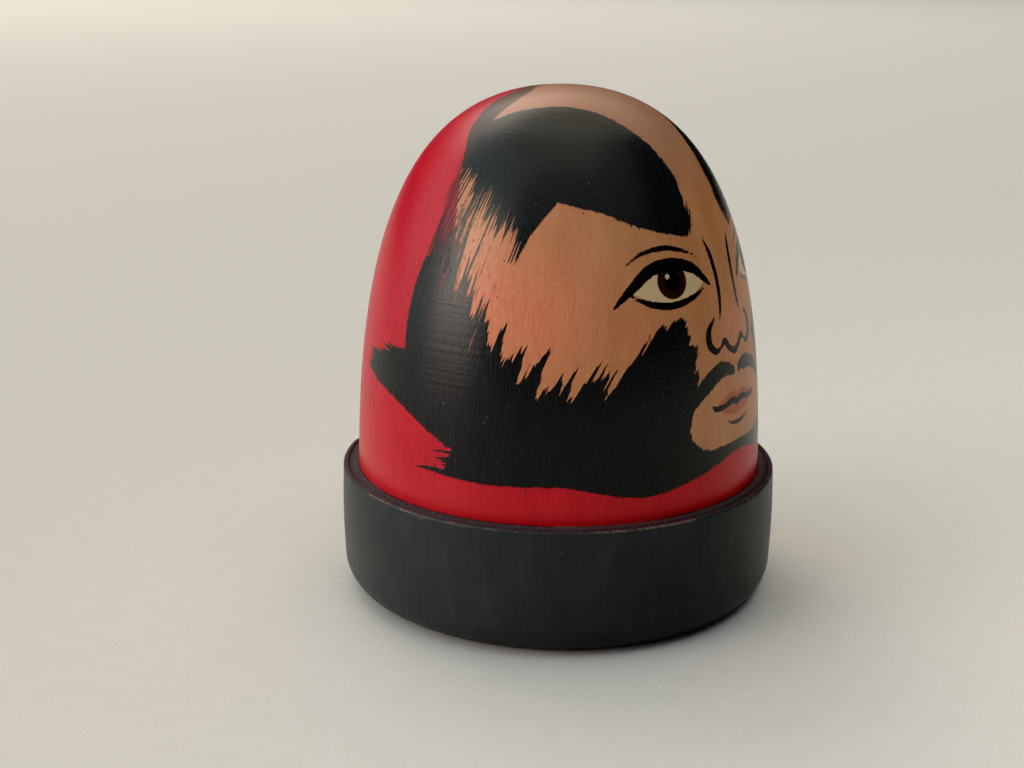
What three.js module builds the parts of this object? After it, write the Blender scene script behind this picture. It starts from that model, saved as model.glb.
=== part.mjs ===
// Daruma doll: a turned and painted wooden doll that stands on a black turned base.
//
// Units are millimetres and +Z is up. The origin is the middle of the base's underside, where the
// doll stands on a table. The face looks along -Y. All three pieces are turned about the same axis.

import * as THREE from 'three';

// Driving dimensions.
const BASE_RADIUS = 35;
const BASE_HEIGHT = 20;
const BASE_EDGE_RADIUS = 5; // roundness of the lower edge
const BASE_BULGE = 0.2; // how far the wall swells past BASE_RADIUS at mid height
const RIM_CHAMFER = 0.5; // broken upper edge of the base
const GAP = 0.3; // clearance between pieces that touch

const DOLL_RADIUS = 32.5; // where the doll meets the ledge of the base
const DOLL_HEIGHT = 60; // from the ledge to the crown
const WALL_TAPER = 0.6; // how far the wall leans in by the height of its handle
const WALL_HANDLE = 37; // height of the curve handle that keeps the wall upright
const CROWN_HANDLE = 24; // reach of the curve handle that rounds the crown

const RECESS_DEPTH = 5; // the doll's foot is let into the base by this much
const FOOT_CHAMFER = 0.8;

const DOWEL_RADIUS = 4;
const DOWEL_CHAMFER = 0.6;
const DOWEL_IN_BASE = 9; // below the floor of the recess
const DOWEL_IN_DOLL = 14; // above the floor of the recess

// Smoothness of the turned surfaces.
const AROUND = 72;
const AROUND_DOWEL = 32;
const DOME_STEPS = 30;
const WALL_STEPS = 6;
const EDGE_STEPS = 6;

// Heights worked out from the dimensions above.
const LEDGE = BASE_HEIGHT;
const RECESS_FLOOR = LEDGE - RECESS_DEPTH;
const FOOT = RECESS_FLOOR + GAP;
const DOWEL_BOTTOM = RECESS_FLOOR - DOWEL_IN_BASE;
const DOWEL_TOP = RECESS_FLOOR + DOWEL_IN_DOLL;
const BORE_RADIUS = DOWEL_RADIUS + GAP;

const point = (radius, height) => new THREE.Vector2(radius, height);

// Turns an outline of (radius, height) points, listed from the lower axis point outwards and up to
// the upper one, about the Z axis.
function turned(name, outline, around, colour, roughness) {
  const geometry = new THREE.LatheGeometry(outline, around);
  geometry.rotateX(Math.PI / 2);
  const material = new THREE.MeshStandardMaterial({ color: colour, roughness, metalness: 0 });
  const mesh = new THREE.Mesh(geometry, material);
  mesh.name = name;
  return mesh;
}

// The rounded lower edge: a quarter circle from the underside round to the wall.
function lowerEdge() {
  const points = [];
  for (let i = 0; i <= EDGE_STEPS; i++) {
    const angle = (i / EDGE_STEPS) * (Math.PI / 2);
    const radius = BASE_RADIUS - BASE_EDGE_RADIUS + BASE_EDGE_RADIUS * Math.sin(angle);
    points.push(point(radius, BASE_EDGE_RADIUS - BASE_EDGE_RADIUS * Math.cos(angle)));
  }
  return points;
}

// The wall above the lower edge, which swells a little at mid height.
function baseWall() {
  const points = [];
  const wallTop = LEDGE - RIM_CHAMFER;
  for (let i = 1; i <= WALL_STEPS; i++) {
    const t = i / WALL_STEPS;
    const height = BASE_EDGE_RADIUS + t * (wallTop - BASE_EDGE_RADIUS);
    points.push(point(BASE_RADIUS + BASE_BULGE * Math.sin(Math.PI * t), height));
  }
  return points;
}

// The base: a solid turned dish, with a recess for the doll's foot and a socket for the dowel.
function base() {
  const recessRadius = DOLL_RADIUS + GAP;
  const socketFloor = DOWEL_BOTTOM - GAP;
  const outline = [
    point(0, 0),
    ...lowerEdge(),
    ...baseWall(),
    point(BASE_RADIUS - RIM_CHAMFER, LEDGE),
    point(recessRadius, LEDGE),
    point(recessRadius, RECESS_FLOOR),
    point(BORE_RADIUS, RECESS_FLOOR),
    point(BORE_RADIUS, socketFloor),
    point(0, socketFloor),
  ];
  return turned('base', outline, AROUND, 0x17191a, 0.42);
}

// The dowel: a plain peg with broken ends.
function dowel() {
  const outline = [
    point(0, DOWEL_BOTTOM),
    point(DOWEL_RADIUS - DOWEL_CHAMFER, DOWEL_BOTTOM),
    point(DOWEL_RADIUS, DOWEL_BOTTOM + DOWEL_CHAMFER),
    point(DOWEL_RADIUS, DOWEL_TOP - DOWEL_CHAMFER),
    point(DOWEL_RADIUS - DOWEL_CHAMFER, DOWEL_TOP),
    point(0, DOWEL_TOP),
  ];
  return turned('locating_dowel', outline, AROUND_DOWEL, 0xc79a66, 0.7);
}

// The dome of the doll, from the ledge up to the crown: nearly upright at the foot and round on top.
function dome() {
  const crown = LEDGE + DOLL_HEIGHT;
  const curve = new THREE.CubicBezierCurve(
    point(DOLL_RADIUS, LEDGE),
    point(DOLL_RADIUS - WALL_TAPER, LEDGE + WALL_HANDLE),
    point(CROWN_HANDLE, crown),
    point(0, crown),
  );
  return curve.getPoints(DOME_STEPS);
}

// The doll: one turning, with a foot that drops into the base and a blind bore for the dowel.
function doll() {
  const boreTop = DOWEL_TOP + GAP;
  const outline = [
    point(0, boreTop),
    point(BORE_RADIUS, boreTop),
    point(BORE_RADIUS, FOOT),
    point(DOLL_RADIUS - FOOT_CHAMFER, FOOT),
    point(DOLL_RADIUS, FOOT + FOOT_CHAMFER),
    ...dome(),
  ];
  return turned('doll_body', outline, AROUND, 0xb3202c, 0.38);
}

const group = new THREE.Group();
group.add(base(), dowel(), doll());

export default group;
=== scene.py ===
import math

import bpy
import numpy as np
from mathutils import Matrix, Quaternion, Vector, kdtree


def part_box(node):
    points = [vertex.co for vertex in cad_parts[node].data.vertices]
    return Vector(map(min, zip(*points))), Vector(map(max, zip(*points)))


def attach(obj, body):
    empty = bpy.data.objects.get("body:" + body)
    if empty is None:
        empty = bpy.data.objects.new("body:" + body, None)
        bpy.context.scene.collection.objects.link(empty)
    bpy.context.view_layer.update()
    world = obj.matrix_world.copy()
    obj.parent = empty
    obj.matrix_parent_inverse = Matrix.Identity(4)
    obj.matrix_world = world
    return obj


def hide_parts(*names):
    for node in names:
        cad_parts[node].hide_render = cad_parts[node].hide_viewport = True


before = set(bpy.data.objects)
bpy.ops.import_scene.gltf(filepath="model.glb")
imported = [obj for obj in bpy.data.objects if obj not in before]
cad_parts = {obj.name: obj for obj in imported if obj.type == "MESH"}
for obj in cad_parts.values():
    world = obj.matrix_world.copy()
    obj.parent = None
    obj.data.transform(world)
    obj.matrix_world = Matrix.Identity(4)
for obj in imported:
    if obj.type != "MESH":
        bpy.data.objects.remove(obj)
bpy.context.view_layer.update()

# A turned and painted daruma doll on a black turned base. The face looks along -Y.
#
# The paint is laid out with a few listed points. A point on the dome is (side, height): the
# angle round from the middle of the face in degrees, and the height above the ledge of the base in
# millimetres. Both sides of the doll share one layout. Each painted shape becomes a distance field
# on the dome's vertices, in millimetres and positive inside, and the material cuts it with brush
# noise.

MM = 0.001
rng = np.random.default_rng(7)

# ---------------------------------------------------------------- sizes, from the frame

_, base_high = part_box("base")
doll_low, doll_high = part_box("doll_body")
peg_low, peg_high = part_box("locating_dowel")

LEDGE = base_high.z
DOLL_RADIUS = doll_high.x
DOLL_HEIGHT = doll_high.z - LEDGE
FOOT = doll_low.z
PEG_RADIUS = peg_high.x

# The rest of the turned outlines, as the CAD draws them.
GAP = 0.3 * MM
WALL_TAPER = 0.6 * MM
WALL_HANDLE = 37 * MM
CROWN_HANDLE = 24 * MM
BASE_BULGE = 0.2 * MM
BASE_EDGE_RADIUS = 5 * MM
BASE_RADIUS = base_high.x - BASE_BULGE
BORE_RADIUS = 4.3 * MM
RECESS_FLOOR = FOOT - GAP
SOCKET_FLOOR = peg_low.z - GAP
BORE_TOP = peg_high.z + GAP
FOOT_CHAMFER = 0.8 * MM
PEG_CHAMFER = 0.6 * MM

# Finer than in the CAD: no gap shows round the doll, and the edge of its bore is broken.
RECESS_RADIUS = DOLL_RADIUS + 0.06 * MM
BORE_CHAMFER = 0.3 * MM

# ---------------------------------------------------------------- the paint's layout

# Runs of (side, height, dryness). Runs meet at corners. Dryness is how far, in millimetres, the
# bristles break the edge there.
ROBE_EDGE = [
    [
        (185, 59.6, 0), (148, 59.5, 0), (127, 59, 0), (120, 57.8, 0), (113, 55.7, 0), (107.5, 53.5, 0),
        (103, 51.6, 0), (100, 49.5, 0), (97.5, 47.5, 0), (95.3, 45, 0), (93.6, 42, 0), (91.8, 39, 0),
        (90.5, 34, 0), (89, 20, 0), (83, 12, 0), (63, 8.5, 0), (33, 7.6, 0), (0, 7.8, 0),
    ],
]
ROBE_CLOSING = [(0, -9), (185, -9)]

# The thin grey hair between the robe and the bare scalp.
FRINGE_EDGE = [
    [(185, 59.9, 0), (133, 59.8, 0), (104, 59.4, 0), (98, 58.3, 0), (98.5, 56.8, 0), (99, 55.7, 0)],
    [(99, 55.7, 0), (96, 53, 0), (96, 50, 0), (100, 48.6, 0)],
]
FRINGE_CLOSING = [(118, 50), (143, 57), (185, 57)]

# Where the fringe's last thin ink runs down over the robe beside the temple.
TEMPLE_EDGE = [
    [(102.5, 52.5, 0), (100.6, 49, 0), (100.3, 46, 0), (100.4, 42, 0), (101.8, 37, 0)],
    [(101.8, 37, 0), (91, 34, 0)],
    [(91, 34, 0), (92.5, 39.5, 0), (94.2, 42, 0), (95.9, 45, 0), (98.4, 49, 0), (102.5, 52.5, 0)],
]

BROW_EDGE = [
    [
        (99, 55.7, 0.1), (85, 57.1, 0.1), (58, 57.7, 0.1), (33, 56.6, 0.1), (18, 53.3, 0.2),
        (12.5, 49.5, 0.5), (11.2, 45.5, 0.8), (11.3, 42.3, 0.8), (14.5, 39.9, 0.4),
    ],
    [(14.5, 39.9, 0.2), (31.5, 41.7, 0.2), (44.5, 43.9, 0.2), (59, 45.4, 0.1)],
    [(59, 45.4, 0.1), (65.4, 42.1, 0.1), (72, 37.3, 1)],
    [
        (72, 37.3, 1.5), (71.8, 40, 3), (75, 41.5, 5), (79.3, 42.4, 6), (84.5, 43.5, 7), (89, 44.6, 7),
        (92, 46.2, 5), (96, 48.4, 2.5), (98.5, 49.6, 1.2),
    ],
    [(98.5, 49.6, 1), (99.5, 53, 0.5), (99, 55.7, 0.1)],
]

BEARD_EDGE = [
    [
        (0, 8.9, 0.2), (9, 8.7, 0.2), (16, 9.2, 0.4), (20.5, 12, 0.8), (20, 16, 1), (18.5, 20, 1.5),
        (18.5, 24, 2), (21, 28, 1.5),
    ],
    [
        (21, 28, 1), (25, 28.4, 1.5), (32.5, 26.4, 3.5), (40, 23.9, 5), (47, 21.5, 6), (55, 20.8, 6),
        (65, 22.8, 6), (73.5, 26.7, 6), (78.3, 31, 5), (81.7, 32.4, 6), (84, 34, 7), (86.5, 35.8, 8),
        (90, 37.2, 9), (93, 39, 8), (96, 40, 6), (99.5, 39, 4), (102.5, 37.2, 1),
    ],
    [(102.5, 37.2, 0.1), (105.2, 31.8, 0.1), (105.8, 26, 0.1), (105.2, 23.6, 0.2)],
    [
        (105.2, 23.6, 0.6), (110, 23.2, 1), (115, 22.6, 1.2), (120, 21.6, 1.5), (124, 20.6, 2),
        (127.3, 18.3, 2),
    ],
    [
        (127.3, 18.3, 1), (120, 17, 0.3), (110.3, 15.7, 0.1), (103, 14.2, 0.1), (95, 12.1, 0.1),
        (86.5, 9.8, 0.5),
    ],
    [(86.5, 9.8, 0.5), (90.2, 9.2, 3), (90.2, 7.4, 2)],
    [(90.2, 7.4, 1), (97.6, 6.6, 0.4), (102, 6.3, 0.5)],
    [
        (102, 6.3, 0.5), (94, 6.1, 0.1), (89.5, 5.9, 0.1), (83.8, 5.7, 0.1), (72.6, 5.5, 0.1), (57, 5.8, 0.1),
        (47, 4.7, 0.1), (36.3, 3.7, 0.1), (29, 3.9, 0.1), (17.4, 5.2, 0.1), (4.4, 6.9, 0.1), (0, 7, 0.1),
    ],
]

MOUSTACHE_EDGE = [
    [(1, 20.3, 0.2), (5, 21.2, 0.3), (10, 20.9, 0.4), (16, 19.2, 0.6), (21, 16.6, 0.6), (23, 14, 0.6)],
    [(23, 14, 0.6), (18, 16.2, 0.6), (12.5, 18, 0.5), (7, 18.9, 0.3), (1, 19, 0.2)],
    [(1, 19, 0.2), (0.6, 19.6, 0.2), (1, 20.3, 0.2)],
]

# Where the drying brush was dragged on from the brow into the beard.
DRAG_EDGE = [
    [(99, 50, 0), (91, 47.5, 0), (84, 45.5, 0), (77, 43.5, 0), (72, 42, 0), (71.5, 37, 0)],
    [(71.5, 37, 0), (77, 30, 0), (85, 32, 0), (92, 36, 0), (96, 42, 0), (99, 50, 0)],
]

# Where the bristles of each stroke run together. Streaks fan out from here.
BROW_PIVOT = (219, -192)
BEARD_PIVOT = (121, -45)
LOBE_PIVOT = (13, 13)
LOBE_FROM_SIDE = 85
LOBE_BELOW = 24.5

# The beard's brush runs dry between these sides.
BEARD_DRIES = (75, 84)
# How much black the dragged brush leaves: more with each degree of side.
DRAG_PER_DEGREE = 0.045
DRAG_AT_FACE = -4.08

# Heights above the ledge, in millimetres, between which the paint changes.
# Over these heights the scalp is painted darker towards the crown, as painted shade.
CROWN_PAINTED_SHADE = (44, 58)
FRINGE_THICKENS = (60, 55.5)
ROBE_LIGHTENS = (9, 2)

LIPS_EDGE = [
    [(0, 16, 0), (2.5, 16.6, 0), (6.5, 16, 0), (11, 15, 0)],
    [(11, 15, 0), (7.5, 13.8, 0), (4, 13.1, 0), (0, 12.9, 0)],
]

# A calm eye, its lid half lowered.
EYE_EDGE = [
    [(11, 33.7, 0), (16, 35.4, 0), (23.5, 36.2, 0), (31, 35.5, 0), (37.5, 33.1, 0)],
    [(37.5, 33.1, 0), (31, 31.7, 0), (24, 31.2, 0), (17, 31.9, 0), (11, 33.7, 0)],
]
IRIS_CENTRE = (23.8, 34.3)
IRIS_RADIUS = 2.6
PUPIL_RADIUS = 1.35
GLINT_CENTRE = (25.4, 35)
GLINT_RADIUS = 0.4

# Brush lines of the face: runs of (side, height, width).
FACE_LINES = [
    [
        (8.5, 32.7, 0.4), (11.5, 34.1, 1.1), (16, 35.8, 1.6), (23.5, 36.6, 1.9), (31, 36, 1.8),
        (37.5, 33.6, 1.4), (43, 31.1, 0.3),
    ],
    [(12, 32.6, 0.3), (17, 31.6, 0.8), (24, 30.9, 1.1), (31, 31.3, 1), (37, 32.5, 0.4)],
    [(12, 37, 0.2), (18, 38.2, 0.6), (25, 38.9, 0.8), (33, 38.4, 0.6), (39, 36.8, 0.2)],
    [(8, 39.5, 0.3), (6, 36.8, 0.9), (5, 33, 0.9), (5.4, 29.5, 0.7), (6.4, 27.6, 0.2)],
    [(9, 28, 0.3), (11.9, 26.4, 1.1), (12.1, 24.4, 1.3), (9.4, 23.1, 1), (7, 23.6, 0.4)],
    [(7.2, 23.4, 0.4), (5, 24.3, 1), (2.8, 23.1, 1), (0, 22.4, 1.1)],
    [(0, 14.7, 1), (3, 15.1, 1), (6.5, 14.7, 0.9), (10.5, 14.6, 0.9), (12.5, 15.3, 0.3)],
    [(0, 11.5, 0.7), (3, 11.7, 0.6), (5.5, 12.2, 0.2)],
]

# Soft rosy spots of (side, height, radius, strength).
BLUSHES = [(79, 31, 9, 1.0), (65, 30, 9, 0.8), (36, 27, 5, 0.4), (0, 26.5, 4, 0.4), (73, 56, 12, 0.45)]

# ---------------------------------------------------------------- the dome's surface


def dome_curve(count):
    """The dome's outline from the ledge to the crown, as radii and heights in metres, evenly spaced."""
    t = np.linspace(0, 1, 2000)
    u = 1 - t
    handles = [
        (DOLL_RADIUS, 0),
        (DOLL_RADIUS - WALL_TAPER, WALL_HANDLE),
        (CROWN_HANDLE, DOLL_HEIGHT),
        (0, DOLL_HEIGHT),
    ]
    weights = [u**3, 3 * t * u**2, 3 * t**2 * u, t**3]
    radii = sum(w * h[0] for w, h in zip(weights, handles))
    heights = sum(w * h[1] for w, h in zip(weights, handles))
    length = np.concatenate([[0], np.cumsum(np.hypot(np.diff(radii), np.diff(heights)))])
    stops = np.linspace(0, length[-1], count)
    return np.interp(stops, length, radii), np.interp(stops, length, heights)


FINE_RADII, FINE_HEIGHTS = dome_curve(3000)


def on_dome(side, height):
    """Points on the dome in millimetres from the middle of the ledge, for sides in degrees."""
    radius = np.interp(height, FINE_HEIGHTS / MM, FINE_RADII / MM)
    angle = np.radians(side)
    return np.stack([radius * np.sin(angle), -radius * np.cos(angle), height], axis=-1)


def smooth(points, steps=24):
    """A smooth curve through given points, which passes through each of them."""
    p = np.array(points, float)
    p = np.vstack([2 * p[0] - p[1], p, 2 * p[-1] - p[-2]])
    t = np.linspace(0, 1, steps, endpoint=False)[:, None]
    spans = []
    for a, b, c, d in zip(p, p[1:], p[2:], p[3:]):
        bend = (2 * a - 5 * b + 4 * c - d) * t**2 + (3 * b - a - 3 * c + d) * t**3
        spans.append((2 * b + (c - a) * t + bend) / 2)
    return np.vstack(spans + [p[-2:-1]])


def along_curve(points, curve):
    """For each point, its distance to a curve on the dome, and the curve's third value there."""
    nodes = on_dome(curve[:, 0], curve[:, 1])
    tree = kdtree.KDTree(len(nodes))
    for i, node in enumerate(nodes):
        tree.insert(node, i)
    tree.balance()
    nearest = np.array([tree.find(p)[1] for p in points])
    distance = np.full(len(points), np.inf)
    value = np.zeros(len(points))
    for step in (-1, 1):
        other = np.clip(nearest + step, 0, len(nodes) - 1)
        start, end = nodes[nearest], nodes[other]
        run = end - start
        t = np.sum((points - start) * run, axis=1) / np.maximum(np.sum(run * run, axis=1), 1e-12)
        t = np.clip(t, 0, 1)
        gap = np.linalg.norm(points - start - run * t[:, None], axis=1)
        here = curve[nearest, 2] * (1 - t) + curve[other, 2] * t
        value = np.where(gap < distance, here, value)
        distance = np.minimum(gap, distance)
    return distance, value


def inside(side, height, outline):
    """True where a (side, height) lies inside a closed outline."""
    result = np.zeros(len(side), bool)
    for (s0, h0), (s1, h1) in zip(outline, np.roll(outline, -1, axis=0)):
        if h0 != h1:
            crosses = (h0 > height) != (h1 > height)
            result ^= crosses & (side < (s1 - s0) * (height - h0) / (h1 - h0) + s0)
    return result


def painted_shape(dome, edge, closing=()):
    """A shape's signed distance on the dome, positive inside, and the dryness of its nearest edge."""
    curves = [smooth(run) for run in edge]
    distance = np.full(len(dome["points"]), np.inf)
    dryness = np.zeros(len(distance))
    for curve in curves:
        gap, dry = along_curve(dome["points"], curve)
        dryness = np.where(gap < distance, dry, dryness)
        distance = np.minimum(gap, distance)
    corners = np.array(closing, float).reshape(-1, 2)
    outline = np.vstack([curve[:, :2] for curve in curves] + [corners])
    within = inside(dome["side"], dome["height"], outline)
    return np.where(within, distance, -distance), dryness


def spot(dome, centre):
    """Distance on the dome from one (side, height)."""
    return np.linalg.norm(dome["points"] - on_dome(*map(float, centre)), axis=1)


def fan(dome, pivot):
    """Coordinates across and along the streaks that run together at a pivot, in millimetres."""
    per_degree = math.radians(DOLL_RADIUS / MM)
    x = (dome["side"] - pivot[0]) * per_degree
    y = dome["height"] - pivot[1]
    reach = np.hypot(x, y)
    return np.arctan2(x, y) * np.median(reach), reach


# ---------------------------------------------------------------- meshes


def even_angles(count):
    """Angles for a turned mesh with evenly spaced columns."""
    return np.linspace(0, 2 * math.pi, count, endpoint=False)


def turned(name, outline, angles, wobble=None):
    """Turns an outline of (radius, height) points about Z. Its first and last points are on the axis.

    wobble(radius, height, angle) may move the points between them, and returns new radii and heights.
    """
    outline = np.array(outline, float)
    rings = outline[1:-1]
    radius = np.repeat(rings[:, 0], len(angles)).reshape(len(rings), -1)
    height = np.repeat(rings[:, 1], len(angles)).reshape(len(rings), -1)
    angle = np.broadcast_to(angles, radius.shape)
    if wobble:
        radius, height = wobble(radius, height, angle)
    ring_points = np.stack([radius * np.sin(angle), -radius * np.cos(angle), height], axis=-1)
    ring_points = ring_points.reshape(-1, 3)
    poles = [(0, 0, outline[0, 1]), (0, 0, outline[-1, 1])]
    count, around = len(rings), len(angles)
    index = np.arange(count * around).reshape(count, around)
    turned_on = np.roll(index, -1, axis=1)
    quads = np.stack([index[:-1], turned_on[:-1], turned_on[1:], index[1:]], axis=-1).reshape(-1, 4)
    first, last = count * around, count * around + 1
    faces = quads.tolist()
    faces += [(first, b, a) for a, b in zip(index[0].tolist(), turned_on[0].tolist())]
    faces += [(last, a, b) for a, b in zip(index[-1].tolist(), turned_on[-1].tolist())]
    mesh = bpy.data.meshes.new(name)
    mesh.from_pydata(np.vstack([ring_points, poles]).tolist(), [], faces)
    mesh.shade_smooth()
    mesh.set_sharp_from_angle(angle=math.radians(40))
    piece = bpy.data.objects.new(name, mesh)
    bpy.context.scene.collection.objects.link(piece)
    return piece


def arc(centre_radius, centre_height, radius, start, end, steps):
    """Outline points along a circular arc, for angles in degrees from straight down, outwards."""
    points = []
    for degrees in np.linspace(start, end, steps):
        angle = math.radians(degrees)
        points.append((centre_radius + radius * math.sin(angle), centre_height - radius * math.cos(angle)))
    return points


def straight(start, end, steps):
    """Outline points along a straight stretch, without its first point."""
    return [tuple(p) for p in np.linspace(start, end, steps + 1)[1:]]


def vertex_places(mesh):
    """The places of a mesh's vertices, one row each."""
    places = np.zeros(len(mesh.vertices) * 3, np.float32)
    mesh.vertices.foreach_get("co", places)
    return places.reshape(-1, 3).astype(float)


def store(mesh, name, values):
    """Keeps one number for each vertex, for the material to read."""
    attribute = mesh.attributes.new(name, "FLOAT", "POINT")
    attribute.data.foreach_set("value", np.asarray(values, np.float32))


# ---------------------------------------------------------------- doll body

FRONT_HALF_WIDTH = 140  # degrees either side of the face that carry fine paint
FRONT_COLUMNS = 450
BACK_COLUMNS = 50
DOME_ROWS = 178


def doll_outline():
    """The doll in section: bore, foot and dome."""
    radii, heights = dome_curve(DOME_ROWS)
    bore_edge = (BORE_RADIUS + BORE_CHAMFER, FOOT)
    outline = [(0, BORE_TOP), (BORE_RADIUS, BORE_TOP), (BORE_RADIUS, FOOT + BORE_CHAMFER), bore_edge]
    outline += straight(bore_edge, (DOLL_RADIUS - FOOT_CHAMFER, FOOT), 4)
    outline += [(DOLL_RADIUS, FOOT + FOOT_CHAMFER)]
    return outline + list(zip(radii, heights + LEDGE))


def doll_angles():
    """Columns round the doll, closer together where there is fine paint."""
    half = math.radians(FRONT_HALF_WIDTH)
    front = np.linspace(-half, half, FRONT_COLUMNS, endpoint=False)
    back = np.linspace(half, 2 * math.pi - half, BACK_COLUMNS, endpoint=False)
    return np.concatenate([front, back])


def paint_fields(piece):
    """Works out every painted shape on the dome and stores it on the vertices."""
    x, y, z = vertex_places(piece.data).T
    side = np.abs(np.degrees(np.arctan2(x, -y)))
    height = (z - LEDGE) / MM
    points = on_dome(side, np.clip(height, 0, DOLL_HEIGHT / MM))
    dome = {"side": side, "height": height, "points": points}

    robe, _ = painted_shape(dome, ROBE_EDGE, ROBE_CLOSING)
    fringe, _ = painted_shape(dome, FRINGE_EDGE, FRINGE_CLOSING)
    temple, _ = painted_shape(dome, TEMPLE_EDGE)
    brow, brow_dry = painted_shape(dome, BROW_EDGE)
    drag, _ = painted_shape(dome, DRAG_EDGE)
    beard, beard_dry = painted_shape(dome, BEARD_EDGE)
    moustache, moustache_dry = painted_shape(dome, MOUSTACHE_EDGE)
    beard_dry = np.where(moustache > beard, moustache_dry, beard_dry)
    lips, _ = painted_shape(dome, LIPS_EDGE)
    eye, _ = painted_shape(dome, EYE_EDGE)
    iris = np.minimum(IRIS_RADIUS - spot(dome, IRIS_CENTRE), eye)
    pupil = np.minimum(PUPIL_RADIUS - spot(dome, IRIS_CENTRE), eye)
    glint = GLINT_RADIUS - spot(dome, GLINT_CENTRE)

    line = np.full(len(side), -np.inf)
    for run in FACE_LINES:
        gap, width = along_curve(dome["points"], smooth(run))
        line = np.maximum(line, width / 2 - gap)

    blush = np.zeros(len(side))
    for centre_side, centre_height, radius, strength in BLUSHES:
        reach = spot(dome, (centre_side, centre_height)) / radius
        blush = np.maximum(blush, strength * np.exp(-reach * reach))

    brow_across, brow_along = fan(dome, BROW_PIVOT)
    beard_across, beard_along = fan(dome, BEARD_PIVOT)
    lobe_across, lobe_along = fan(dome, LOBE_PIVOT)
    in_lobe = (side > LOBE_FROM_SIDE) & (height < LOBE_BELOW)
    beard_across = np.where(in_lobe, lobe_across, beard_across)
    beard_along = np.where(in_lobe, lobe_along, beard_along)

    fields = {
        "half": np.sign(x), "side": side, "robe": robe, "fringe": fringe, "temple": temple,
        "brow": brow, "brow_dry": brow_dry, "brow_across": brow_across, "brow_along": brow_along,
        "beard": np.maximum(beard, moustache), "beard_dry": beard_dry,
        "beard_across": beard_across, "beard_along": beard_along, "drag": drag,
        "lips": lips, "eye": eye, "iris": iris, "pupil": pupil, "glint": glint,
        "line": line, "blush": blush,
    }
    for name, values in fields.items():
        store(piece.data, name, values)


# ---------------------------------------------------------------- base

BASE_COLUMNS = 720
LIP_WIDTH = 0.45 * MM
GROOVE_WIDTH = 0.5 * MM
GROOVE_DEPTH = 0.22 * MM
RIM_ROUND = 0.3 * MM
RIM_CHIPS = 46
FOOT_CHIPS = 10
# Where the rounded lower edge is rubbed and chipped.
FOOT_EDGE_RADIUS = BASE_RADIUS - 2.6 * MM
FOOT_EDGE_HEIGHT = 0.6 * MM
# One larger chip there, to the side of the face: angle, radius, height, width and depth.
BIG_CHIP = (math.radians(-22), BASE_RADIUS - 2 * MM, 1 * MM, 1 * MM, 0.3 * MM)
# The ledge's roughness: its depth, and the waves round it and across each millimetre.
LEDGE_ROUGHNESS = 0.03 * MM
LEDGE_WAVES = ((41, 3), (97, 7), (173, 11), (301, 5))


def base_outline():
    """The base in section: flat underside, rounded edge, wall, grooved ledge, recess and socket."""
    edge_centre = BASE_RADIUS - BASE_EDGE_RADIUS
    outline = [(0, 0)] + straight((0, 0), (edge_centre, 0), 8)
    outline += arc(edge_centre, BASE_EDGE_RADIUS, BASE_EDGE_RADIUS, 0, 90, 22)[1:]
    wall_top = LEDGE - RIM_ROUND
    for t in np.linspace(0, 1, 25)[1:]:
        height = BASE_EDGE_RADIUS + t * (wall_top - BASE_EDGE_RADIUS)
        outline.append((BASE_RADIUS + BASE_BULGE * math.sin(math.pi * t), height))
    outline += arc(BASE_RADIUS - RIM_ROUND, wall_top, RIM_ROUND, 90, 180, 6)[1:]
    lip_inner = BASE_RADIUS - RIM_ROUND - LIP_WIDTH
    groove_inner = lip_inner - GROOVE_WIDTH
    outline += straight((BASE_RADIUS - RIM_ROUND, LEDGE), (lip_inner, LEDGE), 2)
    for t in np.linspace(0, 1, 7)[1:]:
        depth = GROOVE_DEPTH * math.sin(math.pi * t)
        outline.append((lip_inner + t * (groove_inner - lip_inner), LEDGE - depth))
    outline += straight((groove_inner, LEDGE), (RECESS_RADIUS, LEDGE), 6)
    outline += straight((RECESS_RADIUS, LEDGE), (RECESS_RADIUS, RECESS_FLOOR), 5)
    outline += straight((RECESS_RADIUS, RECESS_FLOOR), (BORE_RADIUS, RECESS_FLOOR), 10)
    outline += [(BORE_RADIUS, SOCKET_FLOOR), (0, SOCKET_FLOOR)]
    return outline


def dents(radius, height, angle, places):
    """How deep each point lies in a set of dents, in metres.

    Each dent is (angle, radius, height, width, depth).
    """
    depth = np.zeros_like(radius)
    for at_angle, at_radius, at_height, width, deepest in places:
        turn = (angle - at_angle + math.pi) % (2 * math.pi) - math.pi
        across = np.hypot(radius - at_radius, height - at_height) / (0.5 * width)
        reach = np.hypot(turn * BASE_RADIUS / width, across)
        depth = np.maximum(depth, deepest * np.exp(-reach * reach))
    return depth


def scattered_dents(count, radius, height, widths, depths):
    """Dents at random angles round one edge."""
    turns = rng.uniform(0, 2 * math.pi, count)
    return [(a, radius, height, rng.uniform(*widths), rng.uniform(*depths)) for a in turns]


rim_chips = scattered_dents(
    RIM_CHIPS, BASE_RADIUS, LEDGE, widths=(0.2 * MM, 0.7 * MM), depths=(0.05 * MM, 0.18 * MM)
)
foot_chips = scattered_dents(
    FOOT_CHIPS, FOOT_EDGE_RADIUS, FOOT_EDGE_HEIGHT, widths=(0.4 * MM, 1 * MM), depths=(0.05 * MM, 0.12 * MM)
)
base_chips = rim_chips + foot_chips + [BIG_CHIP]


def base_wobble(radius, height, angle):
    """Chips the outer edges of the base inwards, and roughens the ledge."""
    chip = dents(radius, height, angle, base_chips)
    inside_edges = (radius > RECESS_RADIUS + 0.1 * MM) & (radius < BASE_RADIUS - 0.2 * MM)
    on_ledge = (height > LEDGE - 0.3 * MM) & inside_edges
    waves = [np.sin(angle * k + radius / MM * m + k) for k, m in LEDGE_WAVES]
    rough = LEDGE_ROUGHNESS * sum(waves) / len(waves)
    sunk = np.where(height > LEDGE / 2, 0.7 * chip, 0)
    return radius - chip, height + np.where(on_ledge, rough, 0) - sunk


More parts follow.
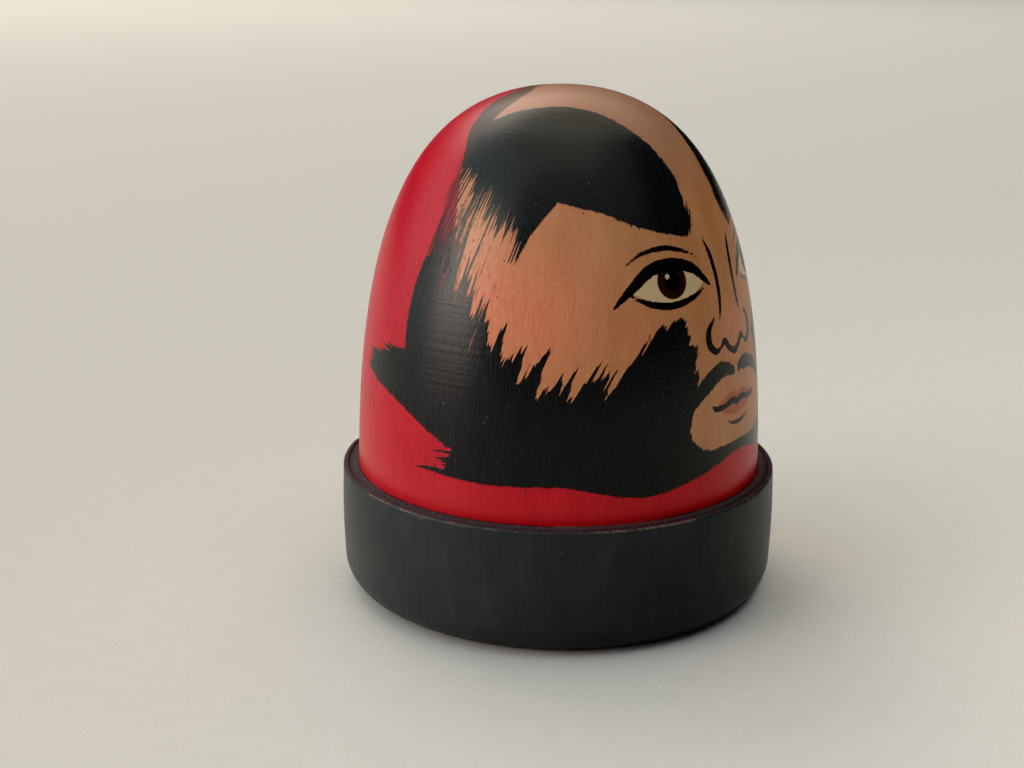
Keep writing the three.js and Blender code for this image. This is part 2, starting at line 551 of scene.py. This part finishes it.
# ---------------------------------------------------------------- materials


def colour(code):
    """A six-digit web colour as linear red, green, blue and alpha."""
    parts = [int(code[i:i + 2], 16) / 255 for i in (0, 2, 4)]
    return [p / 12.92 if p <= 0.04045 else ((p + 0.055) / 1.055) ** 2.4 for p in parts] + [1.0]


class Shader:
    """A material's nodes, with short calls for the ones that this script uses."""

    def __init__(self, name):
        self.material = bpy.data.materials.new(name)
        self.material.use_nodes = True
        self.tree = self.material.node_tree
        self.surface = self.tree.nodes["Principled BSDF"]
        self.coords = self.node("ShaderNodeTexCoord").outputs["Object"]

    def node(self, kind, settings=(), inputs=()):
        made = self.tree.nodes.new(kind)
        for key, value in dict(settings).items():
            setattr(made, key, value)
        for key, value in dict(inputs).items():
            self.feed(made.inputs[key], value)
        return made

    def feed(self, socket, value):
        if isinstance(value, bpy.types.NodeSocket):
            self.tree.links.new(value, socket)
        else:
            socket.default_value = value

    def math(self, operation, a, b=0.0, c=0.0):
        made = self.node("ShaderNodeMath", {"operation": operation}, {0: a, 1: b, 2: c})
        return made.outputs[0]

    def plus(self, *values):
        total = values[0]
        for value in values[1:]:
            total = self.math("ADD", total, value)
        return total

    def times(self, a, b):
        return self.math("MULTIPLY", a, b)

    def step(self, value, low, high):
        """0 below low, 1 above high, and smooth between them."""
        ends = {"Value": value, "From Min": low, "From Max": high}
        return self.node("ShaderNodeMapRange", {"interpolation_type": "SMOOTHSTEP"}, ends).outputs[0]

    def span(self, value, low, high):
        """Turns 0 to 1 into low to high."""
        return self.node("ShaderNodeMapRange", {}, {"Value": value, "To Min": low, "To Max": high}).outputs[0]

    def mix(self, factor, a, b):
        return self.node("ShaderNodeMix", {"data_type": "RGBA"}, {0: factor, 6: a, 7: b}).outputs[2]

    def blend(self, factor, a, b):
        """Between two numbers, as mix is between two colours."""
        return self.node("ShaderNodeMix", {"data_type": "FLOAT"}, {0: factor, 2: a, 3: b}).outputs[0]

    def field(self, name):
        return self.node("ShaderNodeAttribute", {"attribute_name": name}).outputs["Fac"]

    def vector(self, x, y, z):
        return self.node("ShaderNodeCombineXYZ", {}, {0: x, 1: y, 2: z}).outputs[0]

    def stretched(self, x, y, z):
        """Object coordinates in millimetres, times x, y and z."""
        scale = (x / MM, y / MM, z / MM)
        made = self.node("ShaderNodeVectorMath", {"operation": "MULTIPLY"}, {0: self.coords, 1: scale})
        return made.outputs[0]

    def noise(self, vector, detail=2.0, roughness=0.5):
        """Noise from about -1 to 1."""
        inputs = {"Vector": vector, "Scale": 1.0, "Detail": detail, "Roughness": roughness}
        value = self.node("ShaderNodeTexNoise", {}, inputs).outputs[0]
        return self.math("MULTIPLY_ADD", value, 4.0, -2.0)

    def finish(self, base, roughness, height):
        """Connects the colour, the roughness and a height in millimetres to the surface."""
        self.feed(self.surface.inputs["Base Color"], base)
        self.feed(self.surface.inputs["Roughness"], roughness)
        bump = self.node("ShaderNodeBump", {}, {"Height": height, "Distance": MM, "Strength": 1.0})
        self.feed(self.surface.inputs["Normal"], bump.outputs[0])
        return self.material


def turning_rings(s, coarse_depth=0.003, fine_depth=0.0008):
    """Fine rings that the turning tool left, as a height in millimetres."""
    z = s.node("ShaderNodeSeparateXYZ", {}, {0: s.coords}).outputs[2]
    height = s.times(z, 1 / MM)
    coarse = s.noise(s.vector(0.0, 0.0, s.times(height, 1.5)), 1.0)
    fine = s.noise(s.vector(0.0, 7.0, s.times(height, 4.0)), 1.0)
    return s.plus(s.times(coarse, coarse_depth), s.times(fine, fine_depth))


# Bristles of a full brush and of a dry one: (streaks per mm across, changes per mm along, weight).
FULL_BRUSH = ((0.33, 0.03, 0.6), (1.0, 0.06, 0.4), (3.0, 0.2, 0.2))
DRY_BRUSH = ((0.8, 0.04, 0.35), (2.6, 0.08, 0.5), (6.5, 0.2, 0.4))


def streaks(s, across, along, half, seed, layers):
    """Bristle streaks from about -1 to 1, different on each half of the doll."""
    parts = []
    for number, (frequency, lengthwise, weight) in enumerate(layers):
        place = s.plus(s.times(half, 3.7), seed + 11.0 * number)
        vector = s.vector(s.times(across, frequency), s.times(along, lengthwise), place)
        parts.append(s.times(s.noise(vector, 1.0), weight))
    return s.plus(*parts)


def bare_wood_colour(s, blush=0.0):
    """Pale turned wood with fibres, short dark pores and a rosy blush."""
    fibres = s.noise(s.stretched(2.2, 2.2, 0.12), 3.0)
    broad = s.noise(s.stretched(0.25, 0.25, 0.05), 2.0)
    pores = s.step(s.noise(s.stretched(4.2, 4.2, 1.1), 2.0), 0.3, 0.95)
    wood = s.mix(s.step(broad, -1.2, 1.2), colour("b67a53"), colour("c58960"))
    wood = s.mix(s.times(s.step(fibres, 0.0, 1.4), 0.3), wood, colour("96603a"))
    rosy = s.mix(s.step(fibres, -1.0, 1.4), colour("e08866"), colour("cf7052"))
    wood = s.mix(blush, wood, rosy)
    wood = s.mix(s.times(pores, 0.22), wood, colour("8f5230"))
    flecks = s.step(s.noise(s.stretched(5.5, 5.5, 1.6), 2.0), -0.2, 1.2)
    return s.mix(s.times(flecks, 0.3), wood, colour("e0a577"))


def robe_red(s, above_ledge, fibres, mottle):
    """Thin red paint that shows the wood's fibres, mottled, and lighter near the ledge."""
    red = s.mix(s.step(fibres, -1.3, 1.5), colour("c01f31"), colour("9f1125"))
    red = s.mix(s.times(s.step(mottle, -0.6, 1.4), 0.5), red, colour("c8242c"))
    weave = s.step(s.noise(s.stretched(4.5, 4.5, 2.2), 2.0), -0.4, 1.4)
    red = s.mix(s.times(weave, 0.25), red, colour("d2474c"))
    pinholes = s.step(s.noise(s.stretched(3.4, 3.4, 1.5), 1.0), 1.2, 1.6)
    red = s.mix(s.times(pinholes, 0.4), red, colour("dd7a72"))
    return s.mix(s.times(s.step(above_ledge, *ROBE_LIGHTENS), 0.35), red, colour("cd3836"))


def black_ink(s, fibres):
    """Black paint with a few specks of dust."""
    ink = s.mix(s.step(fibres, -1.0, 1.6), colour("1e2021"), colour("242627"))
    dust = s.step(s.noise(s.stretched(2.8, 2.8, 1.8), 0.0), 1.4, 1.6)
    return s.mix(s.times(dust, 0.4), ink, colour("8c8a80"))


def hair_reach(s, brow_streaks):
    """How far inside the black of the brows and beard a point lies, in millimetres.

    The bristles break its edge where the brush ran dry.
    """
    side = s.field("side")
    beard_place = (s.field("beard_across"), s.field("beard_along"), s.field("half"))
    full = streaks(s, *beard_place, 40.0, FULL_BRUSH)
    dry = streaks(s, *beard_place, 80.0, DRY_BRUSH)
    beard_streaks = s.blend(s.step(side, *BEARD_DRIES), full, dry)
    brow = s.plus(s.field("brow"), s.times(s.field("brow_dry"), brow_streaks))
    beard = s.plus(s.field("beard"), s.times(s.field("beard_dry"), beard_streaks))
    drag = s.math("MULTIPLY_ADD", side, DRAG_PER_DEGREE, DRAG_AT_FACE)
    drag = s.math("MINIMUM", s.plus(brow_streaks, drag), s.field("drag"))
    return s.math("MAXIMUM", s.math("MAXIMUM", brow, beard), drag)


def with_eyes_and_lips(s, base, wobble):
    """The base colour with the eyes and lips painted over it."""
    base = s.mix(s.times(s.step(s.field("eye"), -0.1, 0.1), 0.75), base, colour("d6c39a"))
    base = s.mix(s.step(s.field("iris"), -0.08, 0.08), base, colour("33200f"))
    base = s.mix(s.step(s.field("pupil"), -0.08, 0.08), base, colour("0d0c0c"))
    base = s.mix(s.times(s.step(s.field("glint"), -0.1, 0.1), 0.85), base, colour("d9cdb0"))
    lips = s.step(s.plus(s.field("lips"), wobble), -0.1, 0.12)
    return s.mix(s.times(lips, 0.6), base, colour("a4382c"))


def painted_wood():
    """The doll's paint over bare wood, under a thin coat of wax."""
    s = Shader("painted_wood")
    z = s.node("ShaderNodeSeparateXYZ", {}, {0: s.coords}).outputs[2]
    above_ledge = s.plus(s.times(z, 1 / MM), -LEDGE / MM)
    fibres = s.noise(s.stretched(2.6, 2.6, 0.1), 3.0)
    wobble = s.times(s.noise(s.stretched(0.9, 0.9, 0.9), 2.0), 0.12)
    ticks = s.times(s.step(s.noise(s.stretched(3.4, 3.4, 0.12), 1.0), 0.6, 1.3), 1.5)
    mottle = s.noise(s.stretched(0.12, 0.12, 0.08), 3.0)
    grain = s.noise(s.stretched(2.8, 2.8, 0.9), 2.0)

    # The bare scalp and face, painted darker towards the crown as painted shade.
    base = bare_wood_colour(s, s.field("blush"))
    base = s.mix(s.times(s.step(above_ledge, *CROWN_PAINTED_SHADE), 0.55), base, colour("93705e"))

    # Thin grey hair. The wood shows through it at the crown, and less lower down.
    fringe = s.step(s.plus(s.field("fringe"), wobble, s.times(grain, 0.1)), -0.12, 0.2)
    cover = s.plus(s.span(s.step(above_ledge, *FRINGE_THICKENS), 0.78, 0.96), s.times(fibres, -0.05))
    base = s.mix(s.times(fringe, cover), base, colour("1e1817"))

    # The robe.
    robe = s.step(s.plus(s.field("robe"), wobble), -0.08, 0.1)
    base = s.mix(robe, base, robe_red(s, above_ledge, fibres, mottle))

    # Thin ink that ran on down over the robe beside the temple.
    brow_place = (s.field("brow_across"), s.field("brow_along"), s.field("half"))
    brow_streaks = streaks(s, *brow_place, 0.0, DRY_BRUSH)
    temple = s.step(s.plus(s.field("temple"), s.times(brow_streaks, 0.9)), -0.4, 0.4)
    smear = s.span(s.step(s.plus(brow_streaks, s.times(above_ledge, -0.13)), -6.8, -5.0), 0.3, 0.95)
    base = s.mix(s.times(temple, smear), base, colour("1c0c10"))

    # Brows and beard.
    black = s.step(s.plus(hair_reach(s, brow_streaks), wobble, ticks), -0.1, 0.14)
    base = s.mix(black, base, black_ink(s, fibres))

    # The face, with its brush lines on top.
    base = with_eyes_and_lips(s, base, wobble)
    brush_edge = s.times(s.noise(s.stretched(2.5, 2.5, 1.2), 2.0), 0.09)
    line = s.step(s.plus(s.field("line"), brush_edge), -0.08, 0.08)
    base = s.mix(line, base, colour("121111"))

    # The paint thins out just above the ledge. Below that, in the joint with the ledge, the foot is painted
    # dark red as painted shade, and pale in patches where it is rubbed.
    painted = s.step(s.plus(above_ledge, s.times(wobble, 0.8)), 0.0, 0.2)
    seam_shade_and_wear = s.mix(s.step(mottle, -0.2, 0.8), colour("7c1a24"), colour("c46a5e"))
    base = s.mix(painted, seam_shade_and_wear, base)

    # Black paint stands up a little, is coarser, and shines more than red paint and bare wood.
    dark = s.math("MAXIMUM", black, line)
    relief = s.plus(turning_rings(s, 0.007, 0.0018), s.times(fibres, 0.0025), s.times(dark, 0.01))
    coarse_paint = s.times(s.times(s.step(grain, 0.1, 1.2), black), 0.014)
    matt = s.times(s.math("SUBTRACT", 1.0, dark), 0.07)
    roughness = s.plus(s.span(s.step(fibres, -1.5, 1.5), 0.24, 0.31), s.times(mottle, 0.02), matt)
    s.surface.inputs["Specular IOR Level"].default_value = 0.2
    return s.finish(base, roughness, s.plus(relief, coarse_paint))


def black_lacquer():
    """The base: black on the outside, dull and scraped on the ledge, bare in the recess."""
    s = Shader("black_lacquer")
    x, y, z = s.node("ShaderNodeSeparateXYZ", {}, {0: s.coords}).outputs[:3]
    radius = s.times(s.math("SQRT", s.plus(s.times(x, x), s.times(y, y))), 1 / MM)
    height = s.times(z, 1 / MM)
    ledge, recess_floor = LEDGE / MM, RECESS_FLOOR / MM
    rim, doll_edge = BASE_RADIUS / MM, DOLL_RADIUS / MM
    foot_edge = rim - BASE_EDGE_RADIUS / MM
    fibres = s.noise(s.stretched(1.8, 1.8, 0.1), 3.0)
    patches = s.noise(s.stretched(0.18, 0.18, 0.12), 3.0)
    speck = s.noise(s.stretched(3.0, 3.0, 3.0), 2.0)

    black = s.mix(s.step(fibres, -2.0, 2.4), colour("303434"), colour("363a3a"))
    black = s.mix(s.times(s.step(patches, -0.4, 1.4), 0.4), black, colour("434746"))
    dust = s.step(s.noise(s.stretched(2.2, 2.2, 1.6), 0.0), 1.45, 1.6)
    black = s.mix(s.times(dust, 0.35), black, colour("8a8a84"))

    on_ledge = s.times(s.step(height, ledge - 0.28, ledge - 0.12), s.step(radius, rim - 0.1, rim - 0.4))
    dull = s.mix(s.step(speck, -1.0, 1.4), colour("29272a"), colour("625f61"))
    dull = s.mix(s.times(s.step(patches, -0.4, 0.9), 0.4), dull, colour("552f34"))
    dull = s.mix(s.times(s.step(radius, rim - 1.6, rim - 1.1), 0.55), dull, colour("3c2529"))
    base = s.mix(on_ledge, black, dull)

    # Wear: the upper and lower edges, and every chip.
    foot_line = s.times(s.step(height, 0.7, 0.35), s.step(radius, foot_edge - 0.5, foot_edge + 0.5))
    foot_wear = s.times(foot_line, s.span(s.step(speck, -1.0, 1.0), 0.25, 0.6))
    rim_line = s.times(s.step(height, ledge - 0.3, ledge - 0.1), s.step(radius, rim - 0.45, rim - 0.25))
    rim_wear = s.times(rim_line, s.times(s.step(s.plus(patches, s.times(speck, 0.5)), -0.1, 0.9), 0.7))
    worn = s.math("MINIMUM", s.plus(s.step(s.field("chip"), 0.05, 0.16), foot_wear, rim_wear), 1.0)
    base = s.mix(worn, base, s.mix(s.step(speck, -1.0, 1.0), colour("5e4233"), colour("857868")))
    base = s.mix(s.step(s.field("big_chip"), 0.35, 0.6), base, colour("a8552f"))

    # Bare wood inside the recess, with black strayed over its upper edge.
    bare = s.times(
        s.step(radius, doll_edge + 0.25, doll_edge + 0.1),
        s.step(height, recess_floor - 1, recess_floor - 0.2),
    )
    overspray = s.step(s.plus(height, s.times(speck, 0.25)), ledge - 1.2, ledge - 0.8)
    bare = s.times(bare, s.math("SUBTRACT", 1.0, overspray))
    base = s.mix(bare, base, bare_wood_colour(s))

    dullness = s.times(s.math("MAXIMUM", on_ledge, bare), 0.72)
    roughness = s.math("MAXIMUM", s.span(s.step(fibres, -1.5, 1.5), 0.36, 0.42), dullness)
    relief = s.plus(s.times(fibres, 0.003), turning_rings(s), s.times(s.times(speck, on_ledge), 0.02))
    s.surface.inputs["Specular IOR Level"].default_value = 0.12
    return s.finish(base, roughness, relief)


def bare_wood():
    """The peg: unpainted wood."""
    s = Shader("bare_wood")
    fibres = s.noise(s.stretched(2.4, 2.4, 0.1), 3.0)
    relief = s.plus(s.times(fibres, 0.006), turning_rings(s))
    return s.finish(bare_wood_colour(s), s.span(s.step(fibres, -1.5, 1.5), 0.52, 0.66), relief)


def floor_paper():
    """The pale surface that the doll stands on."""
    s = Shader("floor_paper")
    mottle = s.noise(s.stretched(0.25, 0.25, 0.25), 3.0)
    grain = s.noise(s.stretched(0.9, 0.9, 0.9), 2.0)
    base = s.mix(s.step(mottle, -1.2, 1.2), colour("d6d3cb"), colour("dad7d0"))
    specks = s.noise(s.stretched(1.7, 1.7, 1.7), 2.0)
    base = s.mix(s.times(s.step(specks, -1.0, 1.0), 0.5), base, colour("cfccc4"))
    s.surface.inputs["Specular IOR Level"].default_value = 0.2
    return s.finish(base, s.span(s.step(grain, -1.0, 1.0), 0.8, 0.9), s.times(grain, 0.01))


def wall_glow():
    """The surround: an even glow, about as bright as the floor."""
    s = Shader("wall_glow")
    s.surface.inputs["Base Color"].default_value = colour("000000")
    s.surface.inputs["Specular IOR Level"].default_value = 0.0
    s.surface.inputs["Emission Color"].default_value = colour("c4c0b4")
    s.surface.inputs["Emission Strength"].default_value = 1.0
    return s.material


# ---------------------------------------------------------------- building the pieces

PEG_COLUMNS = 96
PEG_ROWS = 30
WHITTLE_DEPTH = 0.04 * MM


def make_doll():
    piece = turned("painted_body", doll_outline(), doll_angles())
    paint_fields(piece)
    piece.data.materials.append(painted_wood())
    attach(piece, "doll")
    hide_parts("doll_body")


def make_base():
    piece = turned("turned_base", base_outline(), even_angles(BASE_COLUMNS), base_wobble)
    mesh = piece.data
    x, y, z = vertex_places(mesh).T
    place = (np.hypot(x, y), z, np.arctan2(x, -y))
    store(mesh, "chip", dents(*place, base_chips) / MM)
    store(mesh, "big_chip", dents(*place, [BIG_CHIP]) / BIG_CHIP[-1])
    mesh.materials.append(black_lacquer())
    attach(piece, "base")
    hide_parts("base")


def make_peg():
    low, high = peg_low.z, peg_high.z
    end_radius = PEG_RADIUS - PEG_CHAMFER
    outline = [(0, low), (PEG_RADIUS / 2, low), (end_radius, low)]
    outline += [(PEG_RADIUS, low + PEG_CHAMFER)]
    outline += straight((PEG_RADIUS, low + PEG_CHAMFER), (PEG_RADIUS, high - PEG_CHAMFER), PEG_ROWS)
    outline += [(end_radius, high), (PEG_RADIUS / 2, high), (0, high)]

    def whittled(radius, height, angle):
        uneven = WHITTLE_DEPTH * np.sin(3 * angle + height / (4 * MM)) * np.sin(height / (1.7 * MM))
        return radius - np.abs(uneven), height

    piece = turned("wooden_peg", outline, even_angles(PEG_COLUMNS), whittled)
    piece.data.materials.append(bare_wood())
    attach(piece, "peg")
    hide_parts("locating_dowel")


make_doll()
make_base()
make_peg()

# ---------------------------------------------------------------- camera, floor and light

CAMERA_AZIMUTH = math.radians(-58)
CAMERA_PITCH = math.radians(15.85)
CAMERA_DISTANCE = 241.4 * MM
CAMERA_LENS = 52.2
CAMERA_ROLL = math.radians(0.28)
TARGET_HEIGHT = 32 * MM
AIM_LEFT = 7.55 * MM  # the camera aims this far to the left of the doll's axis
FLOOR_RADIUS = 5.0
LIGHT_DISTANCE = 3.2
PINHOLE = 1 * MM  # the floor's middle ring, under the base
STRAIGHT_DOWN = (1, 0, 0, 0)  # the turn of a light that shines on the floor


def direction(azimuth, elevation):
    """A unit vector from the doll towards a place round it. Azimuth 0 is in front of the face."""
    flat = math.cos(elevation)
    return Vector((math.sin(azimuth) * flat, -math.cos(azimuth) * flat, math.sin(elevation)))


def make_camera():
    data = bpy.data.cameras.new("camera")
    data.lens = CAMERA_LENS
    data.sensor_width = 36
    data.clip_start = 10 * MM
    camera = bpy.data.objects.new("camera", data)
    target = Vector((0, 0, TARGET_HEIGHT))
    camera.location = target + direction(CAMERA_AZIMUTH, CAMERA_PITCH) * CAMERA_DISTANCE
    right = Vector((math.cos(CAMERA_AZIMUTH), math.sin(CAMERA_AZIMUTH), 0))
    look = target - right * AIM_LEFT - camera.location
    camera.rotation_mode = "QUATERNION"
    camera.rotation_quaternion = look.to_track_quat("-Z", "Y") @ Quaternion((0, 0, 1), CAMERA_ROLL)
    bpy.context.scene.collection.objects.link(camera)
    bpy.context.scene.camera = camera


def ring_sheet(name, outline, material):
    """A sheet turned about Z from (radius, height) points, as part of the setting."""
    count = 96
    angles = even_angles(count)
    points = [(r * math.sin(a), -r * math.cos(a), h) for r, h in outline for a in angles]
    faces = []
    for ring in range(len(outline) - 1):
        start = ring * count
        for i in range(count):
            j = (i + 1) % count
            faces.append((start + i, start + count + i, start + count + j, start + j))
    mesh = bpy.data.meshes.new(name)
    mesh.from_pydata(points, [], faces)
    mesh.shade_smooth()
    mesh.materials.append(material)
    sheet = bpy.data.objects.new(name, mesh)
    bpy.context.scene.collection.objects.link(sheet)
    return sheet


def make_floor():
    """A pale floor, and far off a pale dome of sky that only the camera sees."""
    ring_sheet("floor", [(PINHOLE, 0)] + straight((PINHOLE, 0), (FLOOR_RADIUS, 0), 12), floor_paper())
    wall = ring_sheet("wall", arc(0, 0, FLOOR_RADIUS, 90, 179, 24), wall_glow())
    wall.visible_diffuse = False
    wall.visible_glossy = False
    wall.visible_shadow = False


def add_light(data, azimuth, elevation, distance, tint):
    """Puts a light round the doll. Azimuth is in degrees to the camera's right, seen from the doll."""
    data.color = colour(tint)[:3]
    light = bpy.data.objects.new(data.name, data)
    back = direction(CAMERA_AZIMUTH + math.radians(azimuth), math.radians(elevation))
    light.location = Vector((0, 0, TARGET_HEIGHT)) + back * distance
    light.rotation_mode = "QUATERNION"
    light.rotation_quaternion = (-back).to_track_quat("-Z", "Y")
    bpy.context.scene.collection.objects.link(light)
    return light


def sky(name, azimuth, elevation, spread, strength, tint):
    """Broad soft light from one side of the sky."""
    data = bpy.data.lights.new(name, "SUN")
    data.angle = math.radians(spread)
    data.energy = strength
    return add_light(data, azimuth, elevation, LIGHT_DISTANCE, tint)


def window(name, azimuth, elevation, distance, size, power, tint):
    """A square soft light."""
    data = bpy.data.lights.new(name, "AREA")
    data.size = size
    data.energy = power
    light = add_light(data, azimuth, elevation, distance, tint)
    light.visible_camera = False
    return light


def make_lights():
    sky("left_sky", -80, 28, 80, 1.6, "f0fffc")
    sky("top_sky", 0, 88, 140, 0.45, "d2e2ff")
    sky("back_sky", 180, 60, 60, 0.9, "fff2d4")
    window("window", -66, 14, LIGHT_DISTANCE, 1.6, 34, "ffdada")
    for sheen in (
        window("window_sheen", -62, 23, LIGHT_DISTANCE, 1.6, 46, "fbffe4"),
        window("top_sheen", 0, 86, LIGHT_DISTANCE, 2.4, 13, "fff2dc"),
        window("front_sheen", 25, 54, LIGHT_DISTANCE, 4.4, 34, "fff8e6"),
    ):
        sheen.visible_diffuse = False
    far_pool = window("far_pool", -150, 40, 4.6, 3, 85, "fff6ea")
    near_pool = window("near_pool", 55, 50, 0.65, 0.5, 0.65, "fcffff")
    near_pool.data.spread = math.radians(80)
    near_pool.visible_glossy = False
    for pool in (far_pool, near_pool):
        pool.rotation_quaternion = STRAIGHT_DOWN
    world = bpy.data.worlds.new("room")
    world.use_nodes = True
    world.node_tree.nodes["Background"].inputs["Color"].default_value = colour("c9c4ba")
    world.node_tree.nodes["Background"].inputs["Strength"].default_value = 0.02
    bpy.context.scene.world = world


# The camera's response: (light, shown), close to straight apart from the deep shadows.
FILM_CURVE = [
    (0, 0), (0.012, 0.0025), (0.02, 0.0085), (0.032, 0.0215), (0.06, 0.054), (0.15, 0.149), (1, 1),
]


def set_film():
    settings = bpy.context.scene.view_settings
    settings.view_transform = "Standard"
    settings.use_curve_mapping = True
    combined = settings.curve_mapping.curves[3]
    for light, shown in FILM_CURVE[1:-1]:
        combined.points.new(light, shown)
    settings.curve_mapping.update()


make_camera()
make_floor()
make_lights()
set_film()
